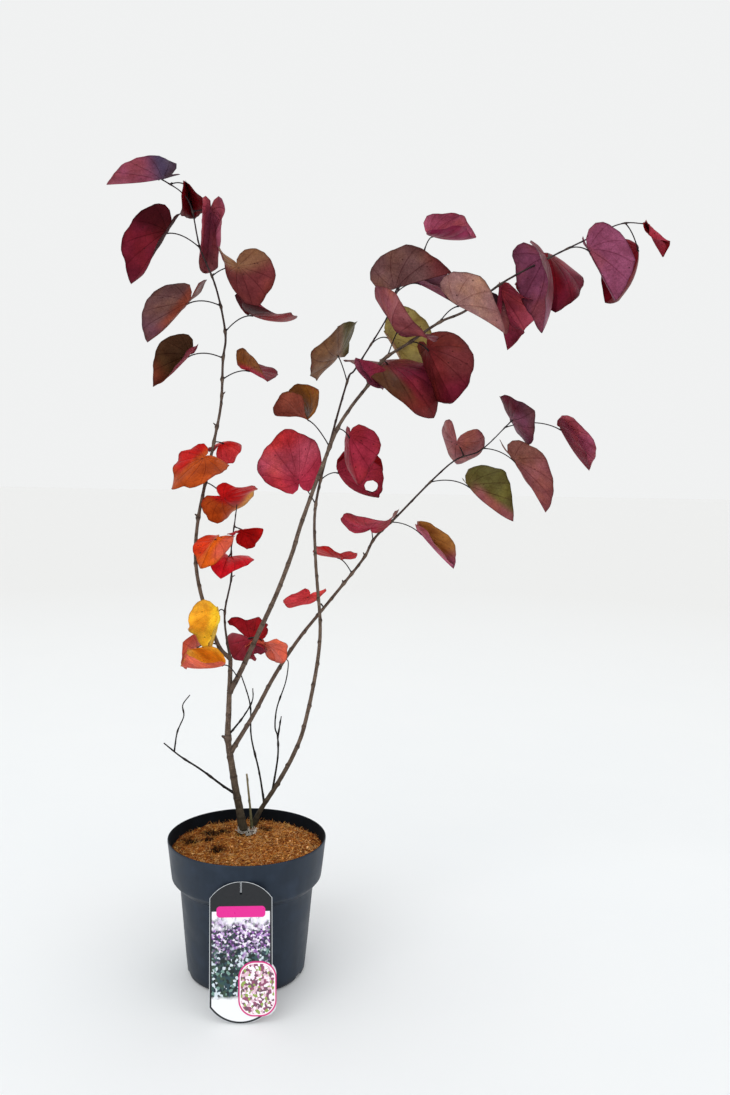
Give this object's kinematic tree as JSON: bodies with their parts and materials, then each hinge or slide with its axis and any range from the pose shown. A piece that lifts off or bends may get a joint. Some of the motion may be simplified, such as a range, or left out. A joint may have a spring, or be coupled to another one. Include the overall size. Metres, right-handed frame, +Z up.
{
  "type": "potted redbud",
  "caption": "Young redbud with several thin stems in red and orange autumn leaf, in a round black nursery pot of coir, with a plain hang tag leaning on it.",
  "frame": {"origin": "centre of the pot's flat underside, where it stands", "axes": "+Z up, +X to the right of the plant's front, +Y towards its back"},
  "size_m": [0.7881, 0.4142, 1.1787],
  "materials": {
    "pot_plastic": "matt charcoal moulded plastic",
    "coir": "loose coconut fibre",
    "tag_card": "glossy printed card",
    "bark": "grey-brown young bark",
    "dead_wood": "dry dead wood",
    "leaf_scarlet": "autumn leaf, scarlet to orange",
    "leaf_wine": "autumn leaf, wine red",
    "leaf_rose": "autumn leaf, rose red",
    "leaf_orange": "autumn leaf, orange"
  },
  "bodies": {
    "root": {"pot": "pot_plastic", "soil": "coir", "hang_tag": "tag_card", "trunk": "bark", "leader": "bark", "right_bough": "bark", "back_bough": "bark", "second_stem": "bark", "dead_left": "dead_wood", "dead_middle": "dead_wood", "dead_back": "dead_wood", "dead_right": "dead_wood", "cut_stub": "dead_wood", "leaves_left_middle": "leaf_scarlet", "leaves_left_top": "leaf_wine", "leaves_left_low": "leaf_rose", "leaves_inner": "leaf_orange", "leaves_low": "leaf_orange", "leaves_fork": "leaf_rose", "leaves_right_middle": "leaf_wine", "leaves_right_tip": "leaf_wine", "leaves_back_side": "leaf_rose", "leaves_back_low": "leaf_rose", "leaves_back_tip": "leaf_wine", "leaves_second_low": "leaf_rose", "leaves_second_top": "leaf_wine"}
  },
  "joints": []
}
